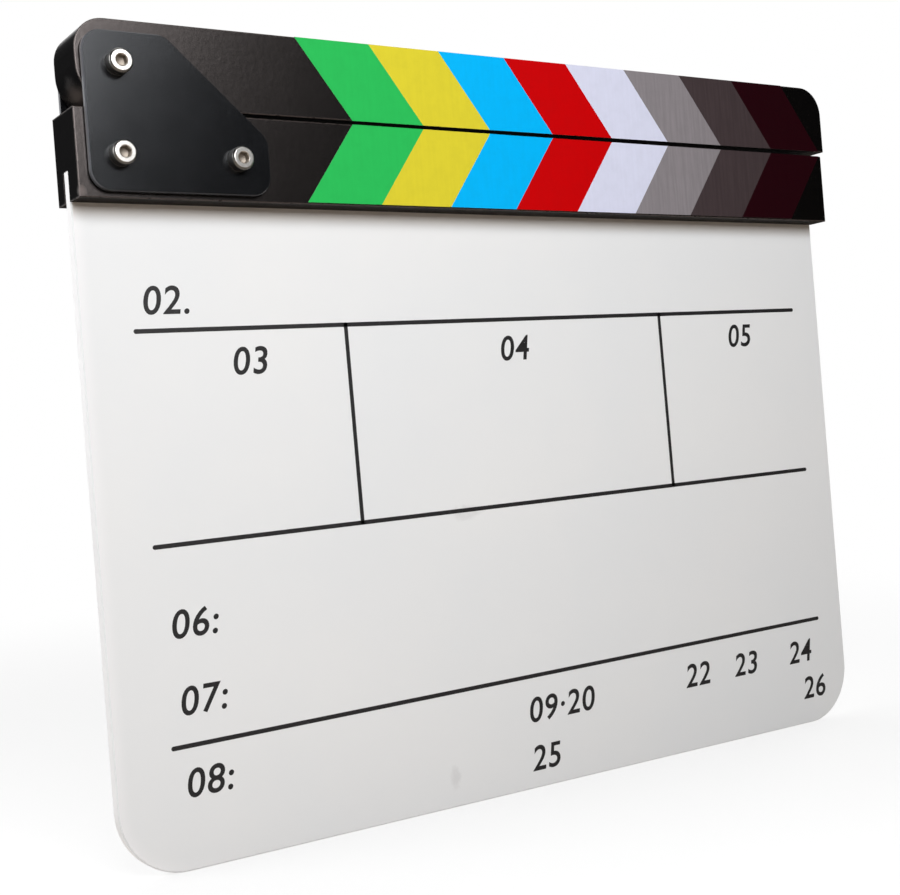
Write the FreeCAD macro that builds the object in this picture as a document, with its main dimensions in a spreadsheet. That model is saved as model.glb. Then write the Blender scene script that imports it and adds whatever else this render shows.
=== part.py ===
# Clapperboard: a white writing board held in a slotted lower stick, with a clapper stick hinged above it.
# Millimetres. The origin is the middle of the board's lower edge. X runs along the sticks from the hinge to
# the free end, Y from the front to the back, and Z up.

import FreeCAD
import Part
import Sketcher
import os

# Driving sizes: name, value, meaning
SIZES = [
    ("stick_length", 297.0, "both sticks, end to end"),
    ("lower_height", 25.2, "lower stick, underside to top"),
    ("upper_height", 24.4, "clapper stick, underside to top"),
    ("stick_depth", 17.5, "both sticks, front to back"),
    ("stick_edge", 0.3, "rounding of the sticks' edges"),
    ("stick_gap", 0.9, "open joint between the sticks at the pivot"),
    ("clapper_shift", 1.7, "clapper stick, further along than the lower stick"),
    ("rest_angle", 0.18, "how far the clapper stick stands open at rest, in degrees"),
    ("heel_radius", 11.2, "quarter round of the clapper stick's heel, centred on the pivot"),
    ("shoulder_round", 9.0, "upper corner of the clapper stick at the hinge"),
    ("nose_round", 10.0, "upper corner of the clapper stick at its free end"),
    ("front_flange", 7.8, "wood in front of the board's slot"),
    ("slot_depth", 9.0, "board's slot, up from the lower stick's underside"),
    ("slot_clearance", 0.1, "room between the board and each wall of its slot"),
    ("board_shown", 191.8, "board below the lower stick"),
    ("board_thick", 4.0, "acrylic sheet"),
    ("board_corner", 20.0, "rounding of the board's lower corners"),
    ("board_edge", 0.4, "bevelled edges of the board"),
    ("board_end_inset", 0.2, "each end of the board, in from the sticks' ends"),
    ("plate_top_inset", 3.9, "plate's upper edge, down from the clapper stick's top"),
    ("plate_foot_inset", 1.5, "plate's lower edge, up from the lower stick's underside"),
    ("plate_end_inset", 3.0, "plate's left side, in from the sticks' ends"),
    ("plate_width", 55.0, "plate along the sticks"),
    ("plate_top_width", 24.5, "plate's upper edge, from its left side to the slanted edge"),
    ("plate_foot_height", 17.0, "plate's right side, from its lower edge to the slanted edge"),
    ("plate_corner", 6.0, "rounding of the plate's corners"),
    ("plate_thick", 1.6, "steel sheet"),
    ("plate_edge", 0.3, "broken outer edge of the plate"),
    ("near_screw_edge", 9.0, "near screw, in from the plate's left side"),
    ("far_screw_edge", 10.2, "far screw, in from the plate's right side"),
    ("screw_row", 11.8, "plate screws, up from the lower stick's underside"),
    ("screw_bore", 4.0, "screw shank"),
    ("screw_end", 1.1, "shank that stands out of the nut"),
    ("screw_tip", 0.5, "bevel at the shank's end"),
    ("head_width", 7.0, "screw head"),
    ("head_height", 4.0, "screw head"),
    ("head_edge", 0.4, "bevel of the screw head's rim"),
    ("socket_flats", 3.0, "hexagon socket across its flats"),
    ("socket_depth", 2.2, "hexagon socket"),
    ("hole_clearance", 0.2, "room around a screw in a plate, a washer or the lower stick"),
    ("pivot_clearance", 0.05, "running room around the pivot screw in the clapper stick"),
    ("thread_clearance", 0.05, "room around a screw in its nut"),
    ("nut_flats", 7.0, "lock nut across its flats"),
    ("nut_height", 3.2, "hexagon of the lock nut"),
    ("collar_width", 6.2, "round collar of the lock nut"),
    ("collar_height", 1.8, "round collar of the lock nut"),
    ("collar_edge", 0.4, "bevel of the lock nut's collar"),
    ("washer_width", 10.0, "washer"),
    ("washer_thick", 0.6, "washer"),
    ("stripe_start", 70.5, "first stripe, from the lower stick's hinge end along the outer edges"),
    ("stripe_lean", 18.0, "how far a stripe runs along the stick from its outer to its inner edge"),
    ("stripe_end", 1.3, "last stripe's tip, in from the lower stick's free end"),
    ("stripe_margin", 0.6, "bare strip under the lower stripes"),
    ("film_thick", 0.15, "stripe film"),
]

# Stripe films in order from the hinge
STRIPES = ["green", "yellow", "cyan", "red", "white", "light_grey", "dark_grey", "maroon"]

doc = FreeCAD.newDocument("clapperboard")
sheet = doc.addObject("Spreadsheet::Sheet", "dims")
for row, (alias, value, meaning) in enumerate(SIZES, start=1):
    sheet.set(f"A{row}", meaning)
    sheet.set(f"B{row}", str(value))
    sheet.setAlias(f"B{row}", alias)
doc.recompute()

# Places worked out from the driving sizes
LEFT_END = "(-dims.stick_length / 2)"
STICK_FRONT = "(-dims.board_thick / 2 - dims.slot_clearance - dims.front_flange)"
STICK_MIDDLE = f"({STICK_FRONT} + dims.stick_depth / 2)"
STICK_BACK = f"({STICK_FRONT} + dims.stick_depth)"
LOWER_FOOT = "dims.board_shown"
SCREW_ROW = "(dims.board_shown + dims.screw_row)"
LOWER_TOP = "(dims.board_shown + dims.lower_height)"
PIVOT_X = f"({LEFT_END} + dims.clapper_shift + dims.heel_radius)"
PIVOT_Z = f"({LOWER_TOP} + dims.stick_gap + dims.heel_radius)"
PLATE_LEFT = f"({LEFT_END} + dims.plate_end_inset)"
PLATE_RIGHT = f"({PLATE_LEFT} + dims.plate_width)"
NEAR_SCREW_X = f"({PLATE_LEFT} + dims.near_screw_edge)"
FAR_SCREW_X = f"({PLATE_RIGHT} - dims.far_screw_edge)"
PLATE_FRONT = f"({STICK_FRONT} - dims.washer_thick - dims.plate_thick)"
PLATE_BACK = f"({STICK_BACK} + dims.washer_thick + dims.plate_thick)"
SCREW_RADIUS = "dims.screw_bore / 2"
NUT_DEPTH = "(dims.nut_height + dims.collar_height)"
SCREW_REACH = f"({PLATE_BACK} - {PLATE_FRONT} + {NUT_DEPTH} + dims.screw_end)"


def number(expression):
    return float(sheet.evalExpression(str(expression)))


def new_body(label, x="0", y="0", z="0", angle=None):
    body = doc.addObject("PartDesign::Body", label)
    body.Label = label
    # a turn about -Y lifts the free end
    body.Placement = FreeCAD.Placement(FreeCAD.Vector(), FreeCAD.Rotation(FreeCAD.Vector(0, -1, 0), 1))
    body.setExpression(".Placement.Base.x", x)
    body.setExpression(".Placement.Base.y", y)
    body.setExpression(".Placement.Base.z", z)
    body.setExpression(".Placement.Rotation.Angle", angle or "0")
    return body


def new_sketch(body, plane, name):
    sketch = body.newObject("Sketcher::SketchObject", f"{body.Name}_{name}")
    origin_plane = next(item for item in body.Origin.OriginFeatures if item.Role == plane)
    sketch.AttachmentSupport = (origin_plane, [""])
    sketch.MapMode = "FlatFace"
    return sketch


def fix_point(sketch, geometry, vertex, place):
    # a point on an axis is tied to that axis, any other by its distance from the origin
    for kind, axis, expression in zip(("DistanceX", "DistanceY"), (-2, -1), place):
        if expression == "0":
            sketch.addConstraint(Sketcher.Constraint("PointOnObject", geometry, vertex, axis))
        else:
            value = number(expression)
            index = sketch.addConstraint(Sketcher.Constraint(kind, -1, 1, geometry, vertex, value))
            sketch.setExpression(f"Constraints[{index}]", expression)


def draw_polygon(sketch, corners):
    points = [FreeCAD.Vector(number(across), number(up), 0) for across, up in corners]
    count = len(points)
    first = sketch.GeometryCount
    for index, point in enumerate(points):
        sketch.addGeometry(Part.LineSegment(point, points[(index + 1) % count]))
    for index in range(count):
        following = first + (index + 1) % count
        sketch.addConstraint(Sketcher.Constraint("Coincident", first + index, 2, following, 1))
    for index, corner in enumerate(corners):
        fix_point(sketch, first + index, 1, corner)


def draw_circle(sketch, centre, radius):
    middle = FreeCAD.Vector(number(centre[0]), number(centre[1]), 0)
    geometry = sketch.addGeometry(Part.Circle(middle, FreeCAD.Vector(0, 0, 1), number(radius)))
    fix_point(sketch, geometry, 3, centre)
    index = sketch.addConstraint(Sketcher.Constraint("Radius", geometry, number(radius)))
    sketch.setExpression(f"Constraints[{index}]", radius)


def pad(body, sketch, length, side="Symmetric", towards_back=False):
    feature = body.newObject("PartDesign::Pad", f"{sketch.Name}_pad")
    feature.Profile = sketch
    feature.SideType = side
    feature.Reversed = towards_back
    feature.setExpression("Length", length)
    doc.recompute()
    return feature


def drill(body, holes):
    # holes along Y, right through the body
    sketch = new_sketch(body, "XZ_Plane", "holes")
    for centre, radius in holes:
        draw_circle(sketch, centre, radius)
    before = body.Shape.Volume
    feature = body.newObject("PartDesign::Pocket", f"{body.Name}_bores")
    feature.Profile = sketch
    feature.SideType = "Symmetric"
    feature.Type = "ThroughAll"
    doc.recompute()
    if body.Shape.Volume >= before:
        raise RuntimeError(f"{body.Label}: the holes cut nothing")
    return feature


def round_edges(body, feature, names, radius):
    fillet = body.newObject("PartDesign::Fillet", f"{feature.Name}_round")
    fillet.Base = (feature, names)
    fillet.setExpression("Radius", radius)
    doc.recompute()
    return fillet


def bevel_edges(body, feature, names, size):
    chamfer = body.newObject("PartDesign::Chamfer", f"{feature.Name}_bevel")
    chamfer.Base = (feature, names)
    chamfer.setExpression("Size", size)
    doc.recompute()
    return chamfer


def corner_edge(feature, across, up):
    # the straight edge along Y at this place of the outline
    for index, edge in enumerate(feature.Shape.Edges, start=1):
        start, end = (vertex.Point for vertex in edge.Vertexes)
        level = abs(start.x - end.x) + abs(start.z - end.z) < 1e-6
        if level and abs(start.x - number(across)) + abs(start.z - number(up)) < 1e-3:
            return f"Edge{index}"
    raise RuntimeError(f"{feature.Name}: no edge at {across}, {up}")


def facing(feature, direction):
    # names of the outermost flat faces that look along these directions
    normal = FreeCAD.Vector(*direction)
    faces = [
        (face.CenterOfMass.dot(normal), f"Face{index}")
        for index, face in enumerate(feature.Shape.Faces, start=1)
        if isinstance(face.Surface, Part.Plane) and face.normalAt(0, 0).dot(normal) > 0.999
    ]
    furthest = max(faces)[0]
    return [name for reach, name in faces if reach > furthest - 1e-6]


def group(label, members):
    compound = doc.addObject("Part::Compound", label)
    compound.Label = label
    compound.Links = members
    return compound


def hexagon(flats):
    # corners of a hexagon with two flats level with X
    half = f"{flats} / 2"
    corner = f"{flats} / sqrt(3)"
    short = f"{flats} / sqrt(12)"
    return [
        (corner, "0"),
        (short, half),
        (f"-{short}", half),
        (f"-{corner}", "0"),
        (f"-{short}", f"-{half}"),
        (short, f"-{half}"),
    ]


def writing_board():
    body = new_body("writing_board")
    right = "(dims.stick_length / 2 - dims.board_end_inset)"
    top = "(dims.board_shown + dims.slot_depth - dims.slot_clearance)"
    sketch = new_sketch(body, "XZ_Plane", "outline")
    draw_polygon(sketch, [(f"-{right}", "0"), (right, "0"), (right, top), (f"-{right}", top)])
    sheet_pad = pad(body, sketch, "dims.board_thick")
    corners = [corner_edge(sheet_pad, f"-{right}", "0"), corner_edge(sheet_pad, right, "0")]
    rounded = round_edges(body, sheet_pad, corners, "dims.board_corner")
    faces = facing(rounded, (0, -1, 0)) + facing(rounded, (0, 1, 0))
    bevel_edges(body, rounded, faces, "dims.board_edge")
    return body


def lower_stick():
    body = new_body("lower_stick", y=STICK_MIDDLE, z=LOWER_FOOT)
    front = "(-dims.stick_depth / 2)"
    back = "(dims.stick_depth / 2)"
    slot_front = f"({front} + dims.front_flange)"
    slot_back = f"({slot_front} + dims.board_thick + 2 * dims.slot_clearance)"
    sketch = new_sketch(body, "YZ_Plane", "section")
    draw_polygon(
        sketch,
        [
            (front, "0"),
            (slot_front, "0"),
            (slot_front, "dims.slot_depth"),
            (slot_back, "dims.slot_depth"),
            (slot_back, "0"),
            (back, "0"),
            (back, "dims.lower_height"),
            (front, "dims.lower_height"),
        ],
    )
    bar = pad(body, sketch, "dims.stick_length")
    faces = facing(bar, (0, -1, 0)) + facing(bar, (0, 1, 0))
    round_edges(body, bar, faces, "dims.stick_edge")
    radius = f"({SCREW_RADIUS} + dims.hole_clearance)"
    drill(body, [((x, "dims.screw_row"), radius) for x in (NEAR_SCREW_X, FAR_SCREW_X)])
    return body


def upper_stick():
    # drawn about the pivot
    body = new_body("upper_stick", PIVOT_X, STICK_MIDDLE, PIVOT_Z, "dims.rest_angle")
    heel = "(-dims.heel_radius)"
    nose = "(dims.stick_length - dims.heel_radius)"
    top = "(dims.upper_height - dims.heel_radius)"
    sketch = new_sketch(body, "XZ_Plane", "outline")
    draw_polygon(sketch, [(heel, heel), (nose, heel), (nose, top), (heel, top)])
    feature = pad(body, sketch, "dims.stick_depth")
    for place, radius in (
        ((heel, heel), "dims.heel_radius"),
        ((heel, top), "dims.shoulder_round"),
        ((nose, top), "dims.nose_round"),
    ):
        feature = round_edges(body, feature, [corner_edge(feature, *place)], radius)
    faces = facing(feature, (0, -1, 0)) + facing(feature, (0, 1, 0))
    round_edges(body, feature, faces, "dims.stick_edge")
    drill(body, [(("0", "0"), f"({SCREW_RADIUS} + dims.pivot_clearance)")])
    return body


def hinge_plate(label, outside, outward):
    # drawn about the pivot, its outer face at the given place
    body = new_body(label, PIVOT_X, outside, PIVOT_Z)
    left = "(dims.plate_end_inset - dims.clapper_shift - dims.heel_radius)"
    right = f"({left} + dims.plate_width)"
    cut_start = f"({left} + dims.plate_top_width)"
    top = "(dims.upper_height - dims.heel_radius - dims.plate_top_inset)"
    underside = "(-dims.heel_radius - dims.stick_gap - dims.lower_height)"
    foot = f"({underside} + dims.plate_foot_inset)"
    cut_end = f"({foot} + dims.plate_foot_height)"
    outline = [(left, foot), (right, foot), (right, cut_end), (cut_start, top), (left, top)]
    sketch = new_sketch(body, "XZ_Plane", "outline")
    draw_polygon(sketch, outline)
    blank = pad(body, sketch, "dims.plate_thick", "One side", towards_back=outward < 0)
    corners = [corner_edge(blank, across, up) for across, up in outline]
    rounded = round_edges(body, blank, corners, "dims.plate_corner")
    bevel_edges(body, rounded, facing(rounded, (0, outward, 0)), "dims.plate_edge")
    screw_row = f"({underside} + dims.screw_row)"
    radius = f"({SCREW_RADIUS} + dims.hole_clearance)"
    near_screw = f"({left} + dims.near_screw_edge)"
    far_screw = f"({right} - dims.far_screw_edge)"
    centres = [("0", "0"), (near_screw, screw_row), (far_screw, screw_row)]
    drill(body, [(centre, radius) for centre in centres])
    return body


def cap_screw(label, x, z):
    # turned about Y, with the underside of the head on the plate's front
    body = new_body(label, x, PLATE_FRONT, z)
    face = "(-dims.head_height)"
    rim = "(dims.head_width / 2)"
    profile = new_sketch(body, "XY_Plane", "profile")
    draw_polygon(
        profile,
        [
            ("0", face),
            (rim, face),
            (rim, "0"),
            (SCREW_RADIUS, "0"),
            (SCREW_RADIUS, f"({SCREW_REACH} - dims.screw_tip)"),
            (f"({SCREW_RADIUS} - dims.screw_tip)", SCREW_REACH),
            ("0", SCREW_REACH),
        ],
    )
    turned = body.newObject("PartDesign::Revolution", f"{label}_turned")
    turned.Profile = profile
    turned.ReferenceAxis = (profile, ["V_Axis"])
    turned.Angle = 360
    doc.recompute()
    bevelled = bevel_edges(body, turned, facing(turned, (0, -1, 0)), "dims.head_edge")
    key = new_sketch(body, "XZ_Plane", "key")
    key.setExpression(".AttachmentOffset.Base.z", "dims.head_height")
    draw_polygon(key, hexagon("dims.socket_flats"))
    before = bevelled.Shape.Volume
    socket = body.newObject("PartDesign::Pocket", f"{label}_socket")
    socket.Profile = key
    socket.setExpression("Length", "dims.socket_depth")
    doc.recompute()
    if socket.Shape.Volume >= before:
        raise RuntimeError(f"{label}: the socket cut nothing")
    return body


def lock_nut(label, x, z):
    # seated on the rear plate
    body = new_body(label, x, PLATE_BACK, z)
    flats = new_sketch(body, "XZ_Plane", "flats")
    draw_polygon(flats, hexagon("dims.nut_flats"))
    pad(body, flats, "dims.nut_height", "One side", towards_back=True)
    collar = new_sketch(body, "XZ_Plane", "collar")
    draw_circle(collar, ("0", "0"), "dims.collar_width / 2")
    nut = pad(body, collar, NUT_DEPTH, "One side", towards_back=True)
    bevel_edges(body, nut, facing(nut, (0, 1, 0)), "dims.collar_edge")
    drill(body, [(("0", "0"), f"({SCREW_RADIUS} + dims.thread_clearance)")])
    return body


def washer(label, x, y, z):
    body = new_body(label, x, y, z)
    ring = new_sketch(body, "XZ_Plane", "ring")
    draw_circle(ring, ("0", "0"), "dims.washer_width / 2")
    draw_circle(ring, ("0", "0"), f"({SCREW_RADIUS} + dims.hole_clearance)")
    pad(body, ring, "dims.washer_thick", "One side", towards_back=True)
    return body


def stripe(label, order, upper):
    # one leaning field of film on a stick's front
    free = "(dims.stick_length - dims.stripe_start - dims.stripe_lean - dims.stripe_end)"
    pitch = f"({free} / {len(STRIPES)})"
    outer_end = f"(dims.stripe_start + {pitch} * {order})"
    inner_end = f"(dims.stripe_start + dims.stripe_lean + {pitch} * {order})"
    margin_lean = "(dims.stripe_lean * dims.stripe_margin / dims.lower_height)"
    if upper:
        body = new_body(label, PIVOT_X, STICK_FRONT, PIVOT_Z, "dims.rest_angle")
        start = "(-dims.heel_radius - dims.clapper_shift)"
        inner = "(-dims.heel_radius)"
        outer = "(dims.upper_height - dims.heel_radius)"
    else:
        body = new_body(label, "0", STICK_FRONT, LOWER_FOOT)
        start = LEFT_END
        inner = "dims.lower_height"
        outer = "dims.stripe_margin"
        outer_end = f"({outer_end} + {margin_lean})"
    field = new_sketch(body, "XZ_Plane", "field")
    draw_polygon(
        field,
        [
            (f"({start} + {outer_end})", outer),
            (f"({start} + {inner_end})", inner),
            (f"({start} + {inner_end} + {pitch})", inner),
            (f"({start} + {outer_end} + {pitch})", outer),
        ],
    )
    pad(body, field, "dims.film_thick", "One side")
    return body


plate_screw_places = [("near", NEAR_SCREW_X), ("far", FAR_SCREW_X)]
front_seat = f"({STICK_FRONT} - dims.washer_thick)"
washer_seats = [("front", front_seat), ("rear", STICK_BACK)]

parts = [
    writing_board(),
    lower_stick(),
    upper_stick(),
    hinge_plate("front_hinge_plate", PLATE_FRONT, -1),
    hinge_plate("rear_hinge_plate", PLATE_BACK, 1),
    cap_screw("pivot_screw", PIVOT_X, PIVOT_Z),
    group("plate_screws", [cap_screw(f"{end}_screw", x, SCREW_ROW) for end, x in plate_screw_places]),
    lock_nut("pivot_lock_nut", PIVOT_X, PIVOT_Z),
    group("plate_lock_nuts", [lock_nut(f"{end}_nut", x, SCREW_ROW) for end, x in plate_screw_places]),
    group("pivot_washers", [washer(f"{side}_pivot_washer", PIVOT_X, y, PIVOT_Z) for side, y in washer_seats]),
    group(
        "plate_washers",
        [
            washer(f"{end}_{side}_washer", x, y, SCREW_ROW)
            for end, x in plate_screw_places
            for side, y in washer_seats
        ],
    ),
]
for order, colour in enumerate(STRIPES):
    parts.append(stripe(f"upper_stripe_{colour}", order, True))
    parts.append(stripe(f"lower_stripe_{colour}", order, False))

doc.recompute()

for item in doc.Objects:
    if "Invalid" in item.State or "Error" in item.State:
        raise RuntimeError(f"{item.Label}: {item.State}")
for item in parts:
    if item.Shape.isNull() or not item.Shape.isValid():
        raise RuntimeError(f"{item.Label}: no valid shape")

os.makedirs("parts", exist_ok=True)
for item in parts:
    item.Shape.exportStep(f"parts/{item.Label}.step")
    box = item.Shape.BoundBox
    print(f"{item.Label}: {len(item.Shape.Solids)} solid, {item.Shape.Volume:.1f} mm3, "
          f"{box.XLength:.2f} x {box.YLength:.2f} x {box.ZLength:.2f}")
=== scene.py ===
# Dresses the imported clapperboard: finishes, print, screws and nuts, then the studio and the camera.
# Sizes in the dictionaries are millimetres in the slate's own frame, unless a note says otherwise.
import math

import bmesh
import bpy
from mathutils import Matrix, Vector


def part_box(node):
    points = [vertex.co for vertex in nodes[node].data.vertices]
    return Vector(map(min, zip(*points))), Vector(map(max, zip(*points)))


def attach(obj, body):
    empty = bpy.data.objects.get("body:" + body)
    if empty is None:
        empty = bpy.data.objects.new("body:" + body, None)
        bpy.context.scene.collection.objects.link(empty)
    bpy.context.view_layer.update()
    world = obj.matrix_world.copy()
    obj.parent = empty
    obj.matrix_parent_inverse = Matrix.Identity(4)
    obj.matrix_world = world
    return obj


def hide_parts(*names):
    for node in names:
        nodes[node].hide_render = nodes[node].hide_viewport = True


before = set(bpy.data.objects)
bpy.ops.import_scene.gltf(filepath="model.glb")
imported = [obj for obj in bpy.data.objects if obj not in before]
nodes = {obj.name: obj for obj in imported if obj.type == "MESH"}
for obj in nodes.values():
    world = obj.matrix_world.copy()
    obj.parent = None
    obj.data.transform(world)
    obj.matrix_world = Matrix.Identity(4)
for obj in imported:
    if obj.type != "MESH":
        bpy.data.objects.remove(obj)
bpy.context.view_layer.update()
mm = 0.001
touching = 1e-7  # metres, points this near are one
print("frame loaded with", len(nodes), "nodes")


class Wire:
    # a value on its way through a node tree: sums and products of wires add Math nodes
    def __init__(self, bench, socket):
        self.bench = bench
        self.socket = socket

    def __add__(self, other):
        return self.bench.maths("ADD", self, other)

    def __radd__(self, other):
        return self.bench.maths("ADD", other, self)

    def __sub__(self, other):
        return self.bench.maths("SUBTRACT", self, other)

    def __rsub__(self, other):
        return self.bench.maths("SUBTRACT", other, self)

    def __mul__(self, other):
        return self.bench.maths("MULTIPLY", self, other)

    def __rmul__(self, other):
        return self.bench.maths("MULTIPLY", other, self)

    def __truediv__(self, other):
        return self.bench.maths("DIVIDE", self, other)

    def __rtruediv__(self, other):
        return self.bench.maths("DIVIDE", other, self)

    def __neg__(self):
        return self.bench.maths("MULTIPLY", self, -1)

    def __abs__(self):
        return self.bench.maths("ABSOLUTE", self)

    def __gt__(self, other):
        return self.bench.maths("GREATER_THAN", self, other)

    def __lt__(self, other):
        return self.bench.maths("LESS_THAN", self, other)

    def least(self, other):
        return self.bench.maths("MINIMUM", self, other)

    def most(self, other):
        return self.bench.maths("MAXIMUM", self, other)

    def ramp(self, low, high):
        # 0 at low, 1 at high, eased at both ends
        return self.bench.add(
            "ShaderNodeMapRange",
            {"interpolation_type": "SMOOTHSTEP"},
            {"Value": self, "From Min": low, "From Max": high},
        )


class Bench:
    # one node tree being wired up, for a finish or for a shape
    def __init__(self, tree):
        self.tree = tree

    def add(self, kind, settings=None, values=None, out=0):
        # a node with its settings, then the values or wires of its sockets: a list goes to one socket
        node = self.tree.nodes.new(kind)
        for name, value in (settings or {}).items():
            setattr(node, name, value)
        for key, value in (values or {}).items():
            for item in value if isinstance(value, list) else [value]:
                if isinstance(item, Wire):
                    self.tree.links.new(item.socket, node.inputs[key])
                else:
                    node.inputs[key].default_value = item
        if out is None:
            return [Wire(self, socket) for socket in node.outputs]
        return Wire(self, node.outputs[out])

    def maths(self, operation, *values):
        return self.add("ShaderNodeMath", {"operation": operation}, dict(enumerate(values)))

    def vector(self, operation, *values):
        return self.add("ShaderNodeVectorMath", {"operation": operation}, dict(enumerate(values)))

    def length(self, vector):
        return self.add("ShaderNodeVectorMath", {"operation": "LENGTH"}, {0: vector}, "Value")

    def inMillimetres(self, vector):
        return self.add("ShaderNodeVectorMath", {"operation": "SCALE"}, {0: vector, "Scale": 1 / mm})

    def split(self, vector):
        return self.add("ShaderNodeSeparateXYZ", None, {0: vector}, None)

    def join(self, x=0.0, y=0.0, z=0.0):
        return self.add("ShaderNodeCombineXYZ", None, {0: x, 1: y, 2: z})

    def blend(self, share, first, second):
        # colours, from the first to the second
        return self.add("ShaderNodeMix", {"data_type": "RGBA"}, {0: share, 6: first, 7: second}, 2)

    def noise(self, place, size, detail=2.0, rough=0.5, stretch=(1, 1, 1)):
        # value around 0.5, with blotches of about this size in millimetres
        scaled = self.vector("MULTIPLY", place, stretch)
        values = {"Vector": scaled, "Scale": 1 / size, "Detail": detail, "Roughness": rough}
        return self.add("ShaderNodeTexNoise", None, values)


class Finish(Bench):
    # a material with its shader, and the place on the piece in millimetres
    def __init__(self, name, **constants):
        self.material = bpy.data.materials.new(name)
        self.material.use_nodes = True
        super().__init__(self.material.node_tree)
        self.shader = self.tree.nodes["Principled BSDF"]
        for socketName, value in constants.items():
            self.shader.inputs[socketName.replace("_", " ")].default_value = value
        self.base = Wire(self, self.shader.outputs[0])
        coords = self.tree.nodes.new("ShaderNodeTexCoord")
        self.place = self.inMillimetres(Wire(self, coords.outputs["Object"]))
        self.facing = Wire(self, coords.outputs["Normal"])

    def feed(self, **wires):
        for socketName, wire in wires.items():
            self.tree.links.new(wire.socket, self.shader.inputs[socketName.replace("_", " ")])

    def show(self, shader):
        self.tree.links.new(shader.socket, self.tree.nodes["Material Output"].inputs["Surface"])

    def overlay(self, share, **constants):
        # a second shader laid over the first by this share
        values = {socketName.replace("_", " "): value for socketName, value in constants.items()}
        upper = self.add("ShaderNodeBsdfPrincipled", None, values)
        self.show(self.add("ShaderNodeMixShader", None, {0: share, 1: self.base, 2: upper}))

    def bump(self, height, depth):
        # depth in millimetres
        relief = self.add("ShaderNodeBump", None, {"Strength": 1.0, "Distance": depth * mm, "Height": height})
        self.feed(Normal=relief)


def rgb(red, green, blue):
    # screen values of 0 to 255 as a linear colour
    shares = [value / 255 for value in (red, green, blue)]
    linear = [v / 12.92 if v < 0.04045 else ((v + 0.055) / 1.055) ** 2.4 for v in shares]
    return (*linear, 1.0)


def shaded(colour, share):
    # a colour made darker or paler
    return (*(v * share for v in colour[:3]), 1.0)


def roundedInset(finish, x, z, half, corners):
    # depth inside a rounded box about the origin: corners lower left, upper left, lower right, upper right
    lowerLeft, upperLeft, lowerRight, upperRight = corners
    right = x > 0.0
    upper = z > 0.0
    left = lowerLeft + upper * (upperLeft - lowerLeft)
    radius = left + right * (lowerRight + upper * (upperRight - lowerRight) - left)
    across = abs(x) - half[0] + radius
    up = abs(z) - half[1] + radius
    away = finish.length(finish.join(across.most(0.0), up.most(0.0)))
    return radius - away - across.most(up).least(0.0)


# finishes

acrylic = {
    "colour": rgb(239, 240, 241),
    "cool": rgb(236, 238, 240),
    "ior": 1.49,
    "polish": 0.13,  # roughness of the sheet's faces
    "wipedHaze": 0.09,  # added to it by a dry cloth
    "hairlineHaze": 0.06,
    "sawn": 0.36,  # roughness of its edges
    "relief": 0.08,
    "centre": (0.0, 100.4),
    "half": (148.3, 100.4),
    "corners": (20.0, 0.0, 20.0, 0.0),
    "edge": rgb(238, 239, 241),
    "bevel": rgb(220, 222, 224),
    "glow": rgb(246, 246, 248),  # light that spreads inside the sheet shows along its left rim
    "glowReach": 4.5,
    "glowSpan": (-100.0, -148.0),
    "footLight": (0.25, 0.25, 0.255, 1.0),  # and leaves it at its foot
    "unlit": (0.0, 0.0, 0.0, 1.0),
    "underStickShade": rgb(232, 225, 218),  # painted warm shade, just below the stick
    "underStickShadeSpan": (186.0, 193.0),
    "smudge": rgb(196, 194, 196),
    "grime": 0.12,  # share of it on the edges
    "raggedness": 2.2,
    "smudges": [
        # x, z, half width, half height, strength
        (-24.0, 94.0, 7.0, 3.2, 0.55),
        (-36.0, 9.5, 2.6, 4.4, 0.5),
    ],
}


def makeAcrylic(size):
    finish = Finish("whiteAcrylic", IOR=size["ior"], Emission_Strength=1.0)
    place = finish.place
    x, y, z = finish.split(place)
    _, facingBack, facingUp = finish.split(finish.facing)
    slope = 1 - abs(facingBack)  # 0 on the sheet's faces, 1 on its edges
    side = slope.ramp(0.25, 0.8)
    cloud = finish.noise(place, 70, 3)
    wiped = finish.noise(place, 26, 4, 0.6, (0.35, 1, 1.4))  # strokes of a dry cloth
    hairline = finish.noise(place, 1.1, 2, 0.5, (0.04, 1, 1))
    colour = finish.blend(cloud.ramp(0.3, 0.7), size["colour"], size["cool"])
    ragged = finish.noise(place, 3.2, 3, 0.65) * (y < 0.0)  # on the front alone
    for smudgeX, smudgeZ, halfWidth, halfHeight, strength in size["smudges"]:
        across = (x - smudgeX) / halfWidth
        up = (z - smudgeZ) / halfHeight
        reach = across * across + up * up + (ragged - 0.5) * size["raggedness"]
        colour = finish.blend((1 - reach.ramp(0.15, 1.0)) * strength * ragged, colour, size["smudge"])
    middleX, middleZ = size["centre"]
    depth = roundedInset(finish, x - middleX, z - middleZ, size["half"], size["corners"])
    glow = 1 - (depth / size["glowReach"]).ramp(-0.3, 1.0)
    colour = finish.blend(glow * x.ramp(*size["glowSpan"]), colour, size["glow"])
    # painted warm shade on the board's face, in a band just below the stick
    colour = finish.blend(z.ramp(*size["underStickShadeSpan"]) * (1 - side), colour, size["underStickShade"])
    colour = finish.blend(slope.ramp(0.05, 0.25), colour, size["bevel"])
    colour = finish.blend(side, colour, size["edge"])
    grime = finish.noise(place, 9, 4, 0.7)
    colour = finish.blend(side * grime.ramp(0.45, 0.75) * size["grime"], colour, size["smudge"])
    haze = wiped.ramp(0.42, 0.72) * size["wipedHaze"] + hairline.ramp(0.6, 0.75) * size["hairlineHaze"]
    roughness = size["polish"] + haze + side * (size["sawn"] - size["polish"])
    finish.feed(Base_Color=colour, Roughness=roughness)
    foot = (-facingUp).ramp(0.1, 0.7)
    finish.feed(Emission_Color=finish.blend(foot, size["unlit"], size["footLight"]))
    saw = finish.noise(place, 0.5, 2, 0.5, (1, 0.08, 1))
    finish.bump(cloud * 0.6 + hairline * 0.02 + saw * side * 0.06, size["relief"])
    return finish.material


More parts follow.
